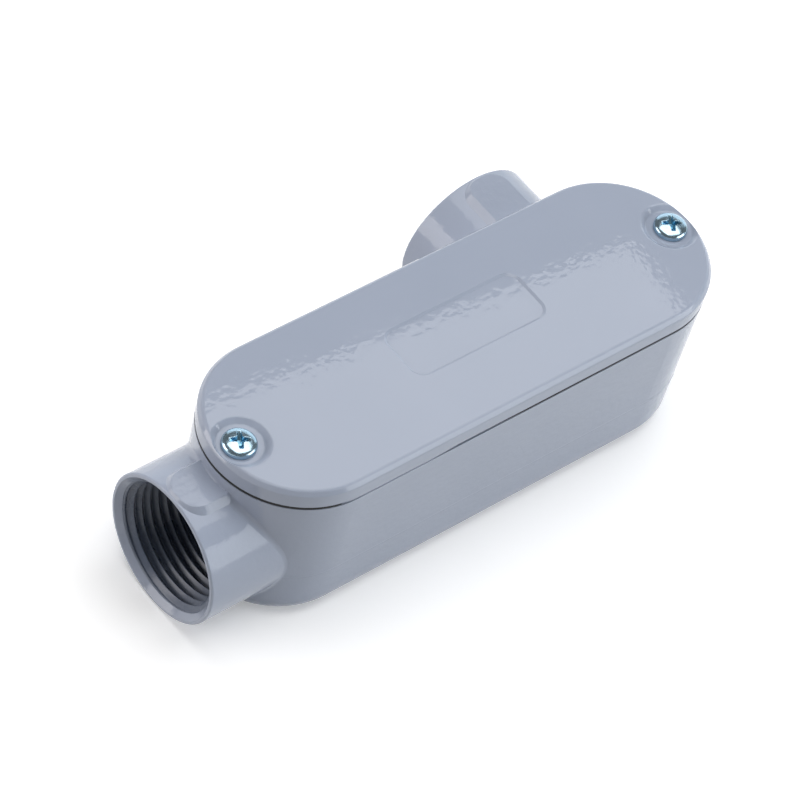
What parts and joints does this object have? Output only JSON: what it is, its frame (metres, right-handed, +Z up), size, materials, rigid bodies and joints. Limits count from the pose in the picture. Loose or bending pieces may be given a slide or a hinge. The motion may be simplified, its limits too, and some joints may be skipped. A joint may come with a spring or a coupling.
{
  "type": "corner junction box",
  "caption": "Cast conduit body with a long rounded tray, a threaded hub on one end and another on the side, closed by a screwed cover over a gasket.",
  "frame": {"origin": "on the flat back of the tray, under the middle of the cover", "axes": "+X along the tray away from the end hub, +Y out of the side hub's mouth, +Z up through the cover"},
  "size_m": [0.1207, 0.0508, 0.0383],
  "materials": {
    "grey_powder_coat": "gloss powder coat on cast aluminium",
    "black_neoprene": "matt sheet rubber",
    "zinc_plated_steel": "bright zinc plate, blue tint"
  },
  "bodies": {
    "box": {"body": "grey_powder_coat", "gasket": "black_neoprene"},
    "cover": {"cover": "grey_powder_coat"},
    "screw_hub_end": {"cover_screw_hub_end": "zinc_plated_steel"},
    "screw_far_end": {"cover_screw_far_end": "zinc_plated_steel"}
  },
  "joints": [
    {"name": "cover_lift", "type": "slide", "parent": "box", "child": "cover", "axis": [0, 0, 1], "range_m": [0, 0.06]},
    {"name": "hub_end_screw_turn", "type": "hinge", "parent": "cover", "child": "screw_hub_end", "pos_m": [-0.05137, 0, 0.0365], "axis": [0, 0, 1], "range_deg": [0, 1440]},
    {"name": "far_end_screw_turn", "type": "hinge", "parent": "cover", "child": "screw_far_end", "pos_m": [0.05137, 0, 0.0365], "axis": [0, 0, 1], "range_deg": [0, 1440]}
  ]
}
